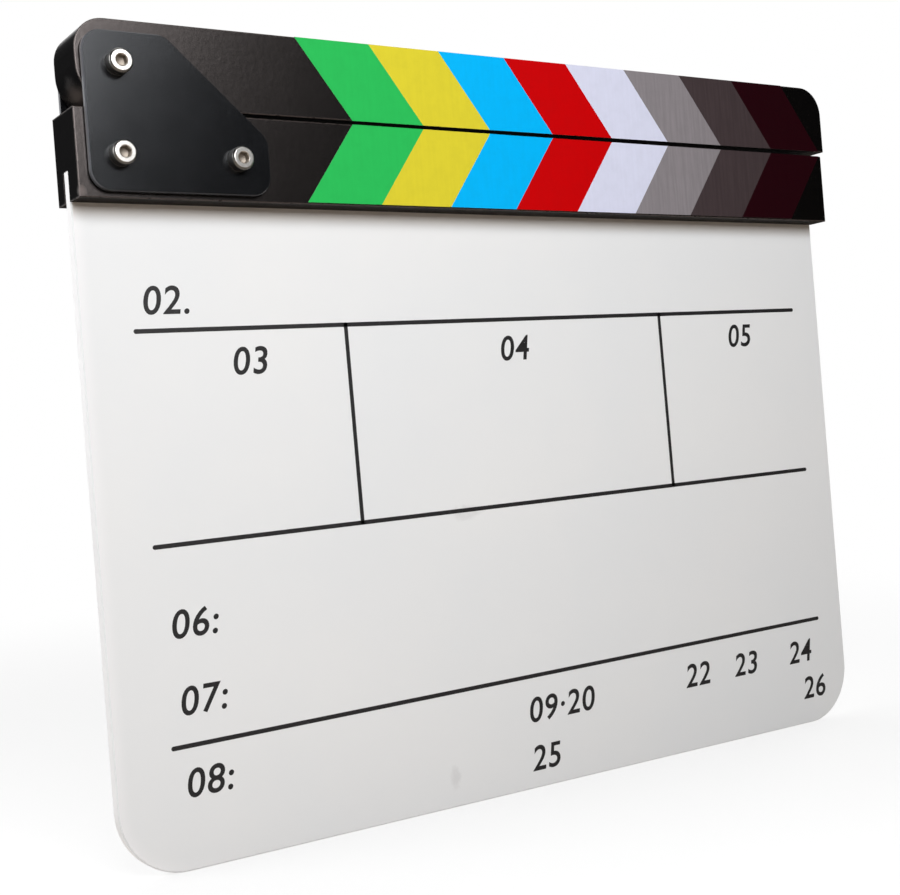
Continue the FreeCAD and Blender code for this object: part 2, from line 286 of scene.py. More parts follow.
lacquer = {
    "colour": rgb(2, 2, 2),
    "dusty": rgb(8, 7, 7),
    # worn through, and also the painted highlight on the clapper's heel
    "wornAndHighlight": rgb(92, 82, 78),
    "speck": rgb(70, 64, 62),
    "endGrain": rgb(6, 6, 7),
    "endRoughness": 0.9,
    "endShine": 0.02,
    "tint": (1.0, 0.89, 0.87, 1.0),
    "ior": 1.72,
    "sheen": 0.265,
    "relief": 0.03,
    "peel": 0.85,  # strength of the sprayed skin in the relief
    "edge": 0.55,  # reach of the rubbed edges
    "edgeWear": 0.62,
    # places rubbed bare, and a painted highlight on the clapper's heel: x, y, z, reach, strength
    "lowerPatches": [(-148, -9.9, 193.5, 2.2, 0.55)],
    "clapperHeelHighlight": [(-144.5, -2.0, 221.3, 7.0, 0.45)],
}


def makeLacquer(name, size, arris, struckTop, rubsAndHighlights):
    # arris gives the distance from the nearest edge of the stick
    finish = Finish(name, IOR=size["ior"], Specular_Tint=size["tint"])
    place = finish.place
    distance = arris(finish)
    grain = finish.noise(place, 1.6, 4, 0.6, (0.03, 1, 1))
    pores = finish.noise(place, 0.55, 2, 0.5, (0.07, 1, 1))
    dust = finish.noise(place, 14, 5, 0.72)
    speckle = finish.noise(place, 0.75, 1, 0.4)
    nibble = finish.noise(place, 2.4, 4, 0.7)
    peel = finish.noise(place, 1.7, 2, 0.55)
    colour = finish.blend(dust.ramp(0.35, 0.8) * 0.5, size["colour"], size["dusty"])
    colour = finish.blend(speckle.ramp(0.75, 0.8) * 0.4, colour, size["speck"])
    rubbedAndHighlight = 1 - (distance + (nibble - 0.5) * 1.5).ramp(0.1, size["edge"])
    rubbedAndHighlight = rubbedAndHighlight * nibble.ramp(0.32, 0.62) * size["edgeWear"]
    # places rubbed bare, and the clapper's painted highlight on its heel
    for patchX, patchY, patchZ, reach, strength in rubsAndHighlights:
        offset = finish.length(finish.vector("SUBTRACT", place, (patchX, patchY, patchZ)))
        soft = 1 - (offset / reach + (nibble - 0.5) * 0.5).ramp(0.2, 1.0)
        rubbedAndHighlight = rubbedAndHighlight.most(soft * strength)
    colour = finish.blend(rubbedAndHighlight, colour, size["wornAndHighlight"])
    roughness = size["sheen"] + (dust - 0.5) * 0.03 + (pores - 0.5) * 0.02 + rubbedAndHighlight * 0.12
    finish.feed(Base_Color=colour, Roughness=roughness)
    along, _, upward = finish.split(finish.facing)
    dry = abs(along).ramp(0.6, 0.95) * 0.985  # end grain drinks the lacquer up
    level = abs(upward) if struckTop else -upward  # the faces that clap together, and the slotted one
    dry = dry.most(level.ramp(0.6, 0.95) * 0.75) * (1 - rubbedAndHighlight)
    finish.overlay(
        dry,
        Base_Color=size["endGrain"],
        Roughness=size["endRoughness"],
        Specular_IOR_Level=size["endShine"],
    )
    finish.bump(grain * 0.5 + pores * 0.1 + peel * size["peel"] - rubbedAndHighlight * 0.5, size["relief"])
    return finish.material


def boxArris(lo, hi):
    # second least of the distances from a box's sides, which is the distance from its nearest edge
    def arris(finish):
        sides = zip(finish.split(finish.place), lo, hi)
        walls = [abs(v - low).least(abs(v - high)) for v, low, high in sides]
        least = walls[0].least(walls[1]).least(walls[2])
        most = walls[0].most(walls[1]).most(walls[2])
        return walls[0] + walls[1] + walls[2] - least - most

    return arris


clapperOutline = {
    "pivot": (-135.6, -1.15, 229.1),
    "open": 0.18,  # degrees at rest
    "centre": (137.3, 1.0),
    "half": (148.5, 12.2),
    "corners": (11.2, 9.0, 0.3, 10.0),  # heel, shoulder, lower and upper corner of the free end
    "halfDepth": 8.75,
}


def clapperArris(finish):
    size = clapperOutline
    angle = math.radians(size["open"])
    level = finish.add(
        "ShaderNodeVectorRotate",
        {"rotation_type": "AXIS_ANGLE"},
        {"Vector": finish.place, "Center": size["pivot"], "Axis": (0, 1, 0), "Angle": angle},
    )
    x, y, z = finish.split(finish.vector("SUBTRACT", level, size["pivot"]))
    middleX, middleZ = size["centre"]
    outline = roundedInset(finish, x - middleX, z - middleZ, size["half"], size["corners"])
    return outline.most(0.0) + (size["halfDepth"] - abs(y)).most(0.0)


plate = {
    "colour": rgb(8, 9, 11),
    "dusty": rgb(15, 16, 19),
    # bare metal, also used for the painted highlight on the left-facing edges
    "wornAndHighlight": rgb(104, 106, 112),
    "tint": (0.92, 0.95, 1.0, 1.0),
    "ior": 1.61,
    "sheen": 0.2,
    "relief": 0.014,
    "edgeWear": 0.18,  # shares of bare metal: along the broken edge
    "leftEdgeHighlight": 0.4,  # painted highlight: more bare metal on the left-facing edges, where the light falls
    "nickWear": 0.4,
    "specks": 0.07,
}


def makePlate(size):
    finish = Finish("blackPlate", IOR=size["ior"], Specular_Tint=size["tint"])
    place = finish.place
    cloud = finish.noise(place, 11, 4, 0.65)
    grain = finish.noise(place, 0.4, 2, 0.6)
    scuff = finish.noise(place, 2.5, 3, 0.6, (1, 1, 0.15))
    nick = finish.noise(place, 1.3, 3, 0.7)
    dust = finish.noise(place, 0.9, 2, 0.5)
    facingRight, facingBack, _ = finish.split(finish.facing)
    slope = 1 - abs(facingBack)  # 0 on the flat faces
    # painted highlight: edges that face left, towards the light, are paler
    litLeft = (-facingRight).ramp(0.2, 0.65)
    edgeWearAndHighlight = size["edgeWear"] + litLeft * size["leftEdgeHighlight"] + nick.ramp(0.56, 0.72) * size["nickWear"]
    bareAndHighlight = (slope.ramp(0.1, 0.3) * edgeWearAndHighlight).most(dust.ramp(0.66, 0.78) * size["specks"])
    colour = finish.blend(cloud.ramp(0.4, 0.75) * 0.5, size["colour"], size["dusty"])
    colour = finish.blend(bareAndHighlight, colour, size["wornAndHighlight"])
    roughness = size["sheen"] + (cloud - 0.5) * 0.05 + (grain - 0.5) * 0.12 + scuff.ramp(0.62, 0.8) * 0.03
    finish.feed(Base_Color=colour, Roughness=roughness)
    finish.bump(grain, size["relief"])
    return finish.material


steel = {
    "colour": rgb(236, 234, 230),
    "stain": rgb(206, 198, 186),
    "socket": rgb(122, 108, 92),  # oil and dust in the sockets, and a painted warm reflection there
    "headSideShade": rgb(44, 41, 38),  # painted shade round the sides and chamfers of the heads
    "polish": 0.24,
    "relief": 0.0015,
    # where these lie, out from the screw's axis and over the underside of its head
    "socketRadius": 1.95,
    "socketFoot": 0.5,
    "faceRadius": 2.97,
    "faceHeight": 3.93,
    "rimRadius": 3.5,
    "sideFoot": 0.3,
    "sideTop": 3.5,
    "grooves": 0.12,
}


def makeSteel(size):
    # lathe rings follow each screw's own axis, which its mesh carries as an attribute
    finish = Finish("brightSteel")
    own = finish.add("ShaderNodeAttribute", {"attribute_name": "ownPlace"}, None, "Vector")
    x, y, z = finish.split(finish.inMillimetres(own))
    away = finish.length(finish.join(x, y))
    rings = finish.noise(finish.join(away, z), 0.16, 2, 0.6)
    stain = finish.noise(finish.place, 1.8, 3, 0.6)
    colour = finish.blend(stain.ramp(0.5, 0.85) * 0.4, size["colour"], size["stain"])
    inner = (away < size["socketRadius"]) * (z < size["faceHeight"]) * (z > size["socketFoot"])
    # painted warm reflection, with oil and dust, inside the sockets
    colour = finish.blend(inner * 0.85, colour, size["socket"])
    rim = (away > size["faceRadius"]) * (z > size["sideFoot"])
    side = rim * (z < size["sideTop"])
    groove = ((size["rimRadius"] - away) / size["grooves"]).ramp(0.0, 1.0)
    # painted shade: the chamfer and sides of each head darker, most in the grooves between the ribs
    colour = finish.blend(rim * 0.7 + side * groove * 0.25, colour, size["headSideShade"])
    roughness = size["polish"] + rings * 0.08 + stain.ramp(0.45, 0.8) * 0.05
    roughness = roughness + inner * 0.12 + side * 0.1
    finish.feed(Base_Color=colour, Roughness=roughness, Metallic=1 - inner * 0.6)
    finish.bump(rings, size["relief"])
    return finish.material


nylon = {"colour": rgb(34, 34, 36), "pale": rgb(52, 52, 54), "ior": 1.53, "sheen": 0.55, "relief": 0.02}


def makeNylon(size):
    finish = Finish("mouldedNylon", IOR=size["ior"])
    skin = finish.noise(finish.place, 0.5, 3, 0.6)
    finish.feed(
        Base_Color=finish.blend(skin.ramp(0.35, 0.75) * 0.6, size["colour"], size["pale"]),
        Roughness=size["sheen"] + (skin - 0.5) * 0.2,
    )
    finish.bump(skin, size["relief"])
    return finish.material


films = {
    # colour, strength of the streaks
    "green": (rgb(42, 187, 88), 0.08),
    "yellow": (rgb(219, 206, 52), 0.08),
    "cyan": (rgb(1, 182, 250), 0.08),
    "red": (rgb(199, 0, 4), 0.06),
    "white": (rgb(216, 219, 240), 0.08),
    "light_grey": (rgb(136, 131, 135), 0.4),
    "dark_grey": (rgb(66, 56, 58), 0.5),
    "maroon": (rgb(34, 3, 10), 0.2),
}
filmSurface = {
    "ior": 1.19,
    "sheen": 0.46,
    "relief": 0.008,
    "dark": 0.8,  # darkest and palest streaks, as shares of the colour
    "pale": 1.16,
    "cut": rgb(196, 192, 188),  # the film's cut edge
    "cutShare": 0.35,
}


def makeFilm(name, colour, streak, size):
    finish = Finish("film_" + name, IOR=size["ior"])
    place = finish.place
    streaks = finish.noise(place, 1.1, 3, 0.6, (1, 1, 0.05))  # faint lines across the stick
    mottle = finish.noise(place, 5, 4, 0.6)
    skin = finish.noise(place, 0.4, 2, 0.5)
    dark = shaded(colour, size["dark"])
    pale = shaded(colour, size["pale"])
    shade = finish.blend(streaks.ramp(0.3, 0.7) * streak + (1 - streak) * 0.5, dark, pale)
    shade = finish.blend(mottle.ramp(0.35, 0.75) * 0.25, shade, dark)
    edge = (1 - abs(finish.split(finish.facing)[1])).ramp(0.4, 0.7)
    shade = finish.blend(edge * size["cutShare"], shade, size["cut"])
    roughness = size["sheen"] + (mottle - 0.5) * 0.14 + (streaks - 0.5) * streak * 0.2
    finish.feed(Base_Color=shade, Roughness=roughness)
    finish.bump(skin * 0.6 + streaks * 0.4, size["relief"])
    return finish.material


ink = {"colour": rgb(26, 25, 27), "thin": rgb(52, 51, 54), "ior": 1.48, "sheen": 0.5, "relief": 0.006}


def makeInk(size):
    finish = Finish("blackInk", IOR=size["ior"])
    dense = finish.noise(finish.place, 1.1, 4, 0.65)
    mesh = finish.noise(finish.place, 0.18, 1, 0.5)
    finish.feed(
        Base_Color=finish.blend(dense.ramp(0.45, 0.85) * 0.6, size["colour"], size["thin"]),
        Roughness=size["sheen"] + (dense - 0.5) * 0.2,
    )
    finish.bump(mesh, size["relief"])
    return finish.material


lowerBox = [tuple(v / mm for v in corner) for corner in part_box("lower_stick")]
lowerArris = boxArris(*lowerBox)
finishes = {
    "writing_board": makeAcrylic(acrylic),
    "lower_stick": makeLacquer("lowerLacquer", lacquer, lowerArris, True, lacquer["lowerPatches"]),
    "upper_stick": makeLacquer("clapperLacquer", lacquer, clapperArris, False, lacquer["clapperHeelHighlight"]),
    "front_hinge_plate": makePlate(plate),
    "pivot_washers": makeNylon(nylon),
}
finishes["rear_hinge_plate"] = finishes["front_hinge_plate"]
finishes["plate_washers"] = finishes["pivot_washers"]
for filmName, (filmColour, filmStreak) in films.items():
    film = makeFilm(filmName, filmColour, filmStreak, filmSurface)
    finishes["upper_stripe_" + filmName] = film
    finishes["lower_stripe_" + filmName] = film
for nodeName, material in finishes.items():
    for materialSlot in nodes[nodeName].material_slots:
        materialSlot.material = material
print("finishes on", len(finishes), "nodes")


# print on the board

boardPrint = {
    "face": -2.0,  # the board's front
    "lift": 0.03,
    "sunk": 0.01,
    "lineWidth": 1.35,
    "capSteps": 12,  # round each end of a line
    "lines": [
        ((-132.2, 155.2), (134.3, 158.5)),
        ((-131.5, 93.3), (134.7, 96.7)),
        ((-130.6, 35.5), (134.8, 39.0)),
        ((-63.5, 156.1), (-62.9, 94.2)),
        ((66.0, 157.7), (66.6, 95.8)),
    ],
    "numberHeight": 8.5,
    "rise": 0.73,  # height of a numeral in the built-in type, as a share of its size
    "slant": 0.16,
    "tilt": 0.7,  # degrees
    "weight": 0.13,  # added to each side of a stroke
    "spacing": 1.08,
    "curveSteps": 6,
    "numbers": [
        ("02.", -130.0, 160.1, "LEFT"),
        ("03", -97.2, 141.9, "CENTER"),
        ("04", 0.4, 143.2, "CENTER"),
        ("05", 105.0, 145.2, "CENTER"),
        ("06:", -128.9, 66.6, "LEFT"),
        ("07:", -127.9, 44.4, "LEFT"),
        ("08:", -127.9, 20.8, "LEFT"),
        ("09·20", -5.5, 21.9, "LEFT"),
        ("22", 71.0, 22.8, "CENTER"),
        ("23", 95.2, 23.2, "CENTER"),
        ("24", 123.8, 23.6, "CENTER"),
        ("26", 136.2, 9.5, "RIGHT"),
        ("25", -5.5, 5.8, "LEFT"),
    ],
}


def meshOf(thing):
    # the evaluated object as a plain mesh of its own
    depsgraph = bpy.context.evaluated_depsgraph_get()
    return bpy.data.meshes.new_from_object(thing.evaluated_get(depsgraph))


def newPiece(name, shape, material):
    mesh = bpy.data.meshes.new(name)
    shape.to_mesh(mesh)
    shape.free()
    piece = bpy.data.objects.new(name, mesh)
    bpy.context.scene.collection.objects.link(piece)
    mesh.materials.append(material)
    return piece


def addInkLine(shape, start, end, size):
    # a bar with round ends, standing on the board's face
    start, end = Vector(start), Vector(end)
    half = size["lineWidth"] / 2
    along = (end - start).normalized()
    across = Vector((-along.y, along.x)) * half
    outline = []
    for middle, sign in ((end, 1), (start, -1)):
        for step in range(size["capSteps"] + 1):
            turn = math.radians(-90 + step * 180 / size["capSteps"])
            rim = along * half * math.cos(turn) + across * math.sin(turn)
            outline.append(middle + sign * rim)
    front = (size["face"] - size["lift"]) * mm
    rear = (size["face"] + size["sunk"]) * mm
    rows = [[shape.verts.new((p.x * mm, depth, p.y * mm)) for p in outline] for depth in (front, rear)]
    shape.faces.new(rows[0])
    shape.faces.new(reversed(rows[1]))
    count = len(outline)
    for index in range(count):
        following = (index + 1) % count
        shape.faces.new((rows[0][following], rows[0][index], rows[1][index], rows[1][following]))


def addNumber(shape, text, x, z, align, size):
    curve = bpy.data.curves.new("number", "FONT")
    curve.body = text
    curve.align_x = align
    curve.size = size["numberHeight"] * mm / size["rise"]
    curve.shear = size["slant"]
    curve.offset = size["weight"] * mm
    curve.space_character = size["spacing"]
    curve.extrude = (size["lift"] + size["sunk"]) / 2 * mm
    curve.resolution_u = size["curveSteps"]
    holder = bpy.data.objects.new("number", curve)
    bpy.context.scene.collection.objects.link(holder)
    mesh = meshOf(holder)
    depth = (size["face"] - (size["lift"] - size["sunk"]) / 2) * mm
    place = Matrix.Translation((x * mm, depth, z * mm))
    upright = Matrix.Rotation(math.radians(90), 4, "X")
    tilted = Matrix.Rotation(-math.radians(size["tilt"]), 4, "Y") @ upright
    mesh.transform(place @ tilted)
    shape.from_mesh(mesh)
    bpy.data.objects.remove(holder)
    bpy.data.meshes.remove(mesh)
    bpy.data.curves.remove(curve)


printShape = bmesh.new()
for start, end in boardPrint["lines"]:
    addInkLine(printShape, start, end, boardPrint)
for text, x, z, align in boardPrint["numbers"]:
    addNumber(printShape, text, x, z, align, boardPrint)
bmesh.ops.remove_doubles(printShape, verts=printShape.verts, dist=touching)
bmesh.ops.recalc_face_normals(printShape, faces=printShape.faces)
printPiece = newPiece("board_print", printShape, makeInk(ink))
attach(printPiece, "board")
print("print:", len(boardPrint["lines"]), "lines and", len(boardPrint["numbers"]), "numbers")


# screws and nuts, each grown from its places by a node tree

weld = 2e-6  # metres, crumbs left by the cuts are smaller
sharpFold = math.radians(32)  # an edge that folds more isn't smoothed


class ShapeTree(Bench):
    # a Geometry Nodes tree whose sizes are named inputs
    def __init__(self, name, sizes):
        super().__init__(bpy.data.node_groups.new(name, "GeometryNodeTree"))
        face = self.tree.interface
        face.new_socket("Geometry", in_out="OUTPUT", socket_type="NodeSocketGeometry")
        face.new_socket("Places", in_out="INPUT", socket_type="NodeSocketGeometry")
        self.keys = {}
        for label in sizes:
            socket = face.new_socket(label, in_out="INPUT", socket_type="NodeSocketFloat")
            self.keys[label] = socket.identifier
        source = self.tree.nodes.new("NodeGroupInput")
        self.places = Wire(self, source.outputs["Places"])
        self.size = {label: Wire(self, source.outputs[label]) for label in sizes}

    def turned(self, profile, facets, ribs=0):
        # solid of revolution about Z from its half section of radius and height, top first
        # a third value is the depth of the grooves between the ribs there
        columns = facets + 1
        sheet = self.add("GeometryNodeMeshGrid", None, {"Vertices X": len(profile), "Vertices Y": columns})
        index = self.add("GeometryNodeInputIndex")
        row = self.maths("FLOOR", index / columns)
        turn = (index - row * columns) * (2 * math.pi / facets)
        chooser = self.tree.nodes.new("GeometryNodeIndexSwitch")
        chooser.data_type = "VECTOR"
        while len(chooser.index_switch_items) < len(profile):
            chooser.index_switch_items.new()
        self.tree.links.new(row.socket, chooser.inputs["Index"])
        for order, (radius, height, *groove) in enumerate(profile):
            self.tree.links.new(self.join(radius, sum(groove), height).socket, chooser.inputs[order + 1])
        radius, groove, height = self.split(Wire(self, chooser.outputs[0]))
        radius = radius - groove * (0.5 - 0.5 * self.maths("COSINE", turn * ribs))
        place = self.join(radius * self.maths("COSINE", turn), radius * self.maths("SINE", turn), height)
        solid = self.add("GeometryNodeSetPosition", None, {"Geometry": sheet, "Position": place})
        return self.add("GeometryNodeMergeByDistance", None, {"Geometry": solid, "Distance": touching})

    def prism(self, flats, depth, height):
        # hexagon bar about Z, with its middle at this height
        values = {"Vertices": 6, "Radius": flats / math.sqrt(3), "Depth": depth}
        return self.moved(self.add("GeometryNodeMeshCylinder", None, values, "Mesh"), height)

    def moved(self, geometry, height):
        values = {"Geometry": geometry, "Translation": self.join(0.0, 0.0, height)}
        return self.add("GeometryNodeTransform", None, values)

    def cut(self, solid, cutters, operation="DIFFERENCE"):
        if operation == "DIFFERENCE":
            values = {"Mesh 1": solid, "Mesh 2": cutters}
        else:
            values = {"Mesh 2": [solid, *cutters]}
        settings = {"operation": operation, "solver": "EXACT"}
        return self.add("GeometryNodeMeshBoolean", settings, values, "Mesh")

    def thread(self, radius, ridge, pitch, start, turns):
        # a three-sided ridge wound round the shank
        values = {
            "Resolution": 28,  # steps in a turn
            "Rotations": turns,
            "Start Radius": radius,
            "End Radius": radius,
            "Height": pitch * turns,
        }
        path = self.add("GeometryNodeCurveSpiral", None, values)
        values = {"Resolution": 3, "Radius": ridge}
        rib = self.add("GeometryNodeCurvePrimitiveCircle", {"mode": "RADIUS"}, values, "Curve")
        values = {"Curve": path, "Profile Curve": rib, "Fill Caps": True}
        return self.moved(self.add("GeometryNodeCurveToMesh", None, values), start)

    def finish(self, solid, materials, seed):
        # the solid at every place, along -Y, each turned by chance about its own axis
        own = self.add("GeometryNodeInputPosition")
        values = {"Geometry": solid, "Name": "ownPlace", "Value": own}
        solid = self.add("GeometryNodeStoreNamedAttribute", {"data_type": "FLOAT_VECTOR"}, values)
        sharp = self.add("GeometryNodeInputMeshEdgeAngle") > sharpFold
        values = {"Geometry": solid, "Shade Smooth": True}
        solid = self.add("GeometryNodeSetShadeSmooth", {"domain": "FACE"}, values)
        values = {"Geometry": solid, "Selection": sharp, "Shade Smooth": False}
        solid = self.add("GeometryNodeSetShadeSmooth", {"domain": "EDGE"}, values)
        values = {2: 0.0, 3: math.tau, "Seed": seed}
        spin = self.add("FunctionNodeRandomValue", {"data_type": "FLOAT"}, values, 1)
        values = {"Points": self.places, "Instance": solid, "Rotation": self.join(math.pi / 2, spin, 0.0)}
        placed = self.add("GeometryNodeInstanceOnPoints", None, values)
        placed = self.add("GeometryNodeRealizeInstances", None, {0: placed})
        for material, selection in materials:
            values = {"Geometry": placed, "Material": material}
            if selection:
                values["Selection"] = selection
            placed = self.add("GeometryNodeSetMaterial", None, values)
        self.tree.links.new(placed.socket, self.tree.nodes.new("NodeGroupOutput").inputs["Geometry"])

    def grow(self, name, places, sizes):
        # the tree run on these places, as a plain mesh
        points = bpy.data.meshes.new(name)
        points.from_pydata([Vector(place) * mm for place in places], [], [])
        holder = bpy.data.objects.new(name + "_places", points)
        modifier = holder.modifiers.new("grown", "NODES")
        modifier.node_group = self.tree
        for label, value in sizes.items():
            modifier[self.keys[label]] = value * mm
        bpy.context.scene.collection.objects.link(holder)
        mesh = meshOf(holder)
        bpy.data.objects.remove(holder)
        shape = bmesh.new()
        shape.from_mesh(mesh)
        bmesh.ops.remove_doubles(shape, verts=shape.verts, dist=weld)
        bmesh.ops.dissolve_degenerate(shape, edges=shape.edges, dist=weld)
        shape.to_mesh(mesh)
        shape.free()
        mesh.name = name
        piece = bpy.data.objects.new(name, mesh)
        bpy.context.scene.collection.objects.link(piece)
        return piece


capScrews = {
    "places": [(-135.6, -12.1, 229.1), (-136.5, -12.1, 203.6), (-100.7, -12.1, 203.6)],  # under the heads
    "seed": 4,
    "ribs": 44,  # round the head
    "ribFacets": 4,
    "knurl": 0.12,  # depth of the grooves between the ribs
    "knurlFoot": 0.45,  # where they start, over the head's underside
    "seatBevel": (0.15, 0.25),  # under the head, inwards and up
    "tipBevel": 0.35,
    "runOut": 0.4,  # from the core up to the plain shank
    "mouthDepth": 0.4,  # of the cone that opens the socket
    "mouthInset": 0.2,  # its lower end, in from the socket's flats
    "mouthFlare": 0.4,
    "mouthFacets": 48,
    "drillShare": 0.94,  # drilled floor of the socket, against its flats
    "drillPoint": 0.5,
    "drillRise": 0.2,
    "drillFacets": 32,
    "ridge": 0.27,  # half the size of the thread's ridge
    "ridgeLift": 0.08,  # its middle, over the core
    "ridgeStart": 0.5,  # from the screw's end
    "turns": 8.5,
    "sizes": {
        "Head Width": 7.0,
        "Head Height": 4.0,
        "Rim": 0.6,
        "Socket Flats": 3.0,
        "Socket Depth": 2.2,
        "Shank Width": 4.0,
        "Core Width": 3.2,
        "Reach": 27.99,
        "Threaded": 7.0,
        "Pitch": 0.7,
    },
}


def growScrews(plan, material):
    tree = ShapeTree("capScrew", plan["sizes"])
    size = tree.size
    head = size["Head Width"] / 2
    top = size["Head Height"]
    rim = size["Rim"]
    shank = size["Shank Width"] / 2
    core = size["Core Width"] / 2
    end = -size["Reach"]
    tip = plan["tipBevel"] * mm
    knurl = plan["knurl"] * mm
    seatIn, seatUp = plan["seatBevel"]
    profile = [
        (0.0, top),
        (head - rim * 1.1, top),  # keeps the face flat in the shading
        (head - rim, top),
        (head - rim * 0.9, top - rim * 0.04),
        (head - rim * 0.05, top - rim * 0.88),
        (head, top - rim),
        (head, top - rim * 1.15, knurl),
        (head, plan["knurlFoot"] * mm, knurl),
        (head, seatUp * mm),
        (head - seatIn * mm, 0.0),
        (shank, 0.0),
        (shank, end + size["Threaded"] + plan["runOut"] * mm),
        (core, end + size["Threaded"]),
        (core, end + tip),
        (core - tip, end),
        (0.0, end),
    ]
    body = tree.turned(profile, plan["ribs"] * plan["ribFacets"], plan["ribs"])
    half = size["Socket Flats"] / 2
    key = tree.prism(size["Socket Flats"], size["Socket Depth"] * 2, top)
    low = top - plan["mouthDepth"] * mm
    wide = half + rim * 1.5 + plan["mouthFlare"] * mm
    narrow = half - plan["mouthInset"] * mm
    profile = [(0.0, top + rim), (wide, top + rim), (narrow, low), (0.0, low)]
    mouth = tree.turned(profile, plan["mouthFacets"])
    floor = top - size["Socket Depth"]
    high = floor + plan["drillRise"] * mm
    drilled = half * plan["drillShare"]
    profile = [(0.0, high), (drilled, high), (drilled, floor), (0.0, floor - half * plan["drillPoint"])]
    drill = tree.turned(profile, plan["drillFacets"])
    body = tree.cut(body, [key, mouth, drill])
    winding = core + plan["ridgeLift"] * mm
    start = end + plan["ridgeStart"] * mm
    ridge = tree.thread(winding, plan["ridge"] * mm, size["Pitch"], start, plan["turns"])
    solid = tree.add("GeometryNodeJoinGeometry", None, {0: [body, ridge]})
    tree.finish(solid, [(material, None)], plan["seed"])
    return tree.grow("cap_screws", plan["places"], plan["sizes"])


lockNuts = {
    "places": [(-135.6, 9.8, 229.1), (-136.5, 9.8, 203.6), (-100.7, 9.8, 203.6)],  # on the rear plate
    "seed": 9,
    "chamferStart": 0.485,  # on the faces, as a share of the flats
    "chamferReach": 1.04,  # as a share of the corners
    "chamferSlope": 30,  # degrees
    "chamferFacets": 60,
    "boreFacets": 40,
    "collarFacets": 56,
    "collarSteps": 4,  # round its rolled edge
    "collarRoot": 0.2,  # the collar's start inside the hexagon
    "lip": (0.1, 0.3),  # the rolled lip's overhang and thickness
    "liningRoot": 0.1,
    "liningSet": 0.32,  # the lining's face, in from the collar's end
    "liningBevel": 0.15,
    "sizes": {
        "Flats": 7.0,
        "Height": 3.2,
        "Bore": 4.1,
        "Collar Width": 6.2,
        "Collar Height": 1.8,
        "Collar Edge": 0.55,
        "Insert Width": 5.0,
    },
}


def growNuts(plan, steelMaterial, nylonMaterial):
    # built downwards, so that the turn which points the screws forward points these to the rear
    tree = ShapeTree("lockNut", plan["sizes"])
    size = tree.size
    flats = size["Flats"]
    low = -size["Height"]
    end = low - size["Collar Height"]
    bore = size["Bore"] / 2
    collar = size["Collar Width"] / 2
    edge = size["Collar Edge"]
    insert = size["Insert Width"] / 2
    ring = flats * plan["chamferStart"]
    outer = flats / math.sqrt(3) * plan["chamferReach"]
    fall = (outer - ring) * math.tan(math.radians(plan["chamferSlope"]))
    bar = tree.prism(flats, size["Height"] * 1.5, low / 2)
    profile = [(0.0, 0.0), (ring, 0.0), (outer, -fall), (outer, low + fall), (ring, low), (0.0, low)]
    bar = tree.cut(bar, [tree.turned(profile, plan["chamferFacets"])], "INTERSECT")
    profile = [(0.0, bore), (bore, bore), (bore, low - bore), (0.0, low - bore)]
    bar = tree.cut(bar, [tree.turned(profile, plan["boreFacets"])])
    root = low + plan["collarRoot"] * mm
    rolled = [(collar, root)]
    for step in range(plan["collarSteps"] + 1):
        turn = math.radians(step * 90 / plan["collarSteps"])
        rolled.append((collar - edge * (1 - math.cos(turn)), end + edge * (1 - math.sin(turn))))
    overhang, thick = plan["lip"]
    rolled += [(insert, end), (insert - overhang * mm, end + thick * mm), (insert, root), (collar, root)]
    cup = tree.turned(rolled, plan["collarFacets"])
    top = low + plan["liningRoot"] * mm
    face = end + plan["liningSet"] * mm
    bevel = plan["liningBevel"] * mm
    section = [(insert, top), (insert, face), (bore + bevel, face), (bore, face + bevel), (bore, top)]
    lining = tree.turned([*section, section[0]], plan["boreFacets"])
    values = {"Geometry": lining, "Name": "lining", "Value": 1.0}
    lining = tree.add("GeometryNodeStoreNamedAttribute", {"data_type": "FLOAT"}, values)
    inside = tree.add("GeometryNodeInputNamedAttribute", {"data_type": "FLOAT"}, {"Name": "lining"}) > 0.5
    solid = tree.add("GeometryNodeJoinGeometry", None, {0: [bar, cup, lining]})
    tree.finish(solid, [(steelMaterial, None), (nylonMaterial, inside)], plan["seed"])
    return tree.grow("lock_nuts", plan["places"], plan["sizes"])


steelMaterial = makeSteel(steel)
screwPiece = growScrews(capScrews, steelMaterial)
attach(screwPiece, "board")
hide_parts("pivot_screw", "plate_screws")
nutPiece = growNuts(lockNuts, steelMaterial, finishes["pivot_washers"])
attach(nutPiece, "board")
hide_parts("pivot_lock_nut", "plate_lock_nuts")
print("screws:", len(screwPiece.data.polygons), "faces, nuts:", len(nutPiece.data.polygons), "faces")


# studio

studio = {
    "floor": rgb(146, 136, 126),
    "floorSize": 12.0,  # metres, from its middle to a side
    "floorShade": 0.98,  # its darker patches
    "chalk": (0.9, 0.9, 0.9, 1.0),  # the floor that the camera sees, where it takes shadows
    "plain": (1.0, 1.0, 1.0, 1.0),  # and where it doesn't
    "white": 0.7,  # share of the plain one
    "fade": (250, 900),  # where the floor runs out into white, from and to
    "room": 0.008,  # light from the front of the room
    "rear": 0.8,  # light from the white sweep behind
    "rearSpan": (0.15, 0.6),
    "lights": [
        # name, place, aim, width, height, roll in degrees, power
        ("keyBox", (-215, -600, 445), (0, 0, 150), 520, 380, 0, 4.85),
        ("stripBox", (42, -600, 454), (-40, 0, 200), 360, 140, 45, 0.34),
        ("topBox", (-60, 150, 900), (0, 0, 150), 700, 500, 0, 0.7),
        ("leftBox", (-800, 160, 380), (-60, 0, 130), 500, 600, 0, 4.4),
        ("rightBox", (850, 220, 380), (60, 0, 130), 500, 600, 0, 3.0),
        ("backBox", (150, 900, 480), (0, 0, 140), 800, 600, 0, 1.6),
    ],
}


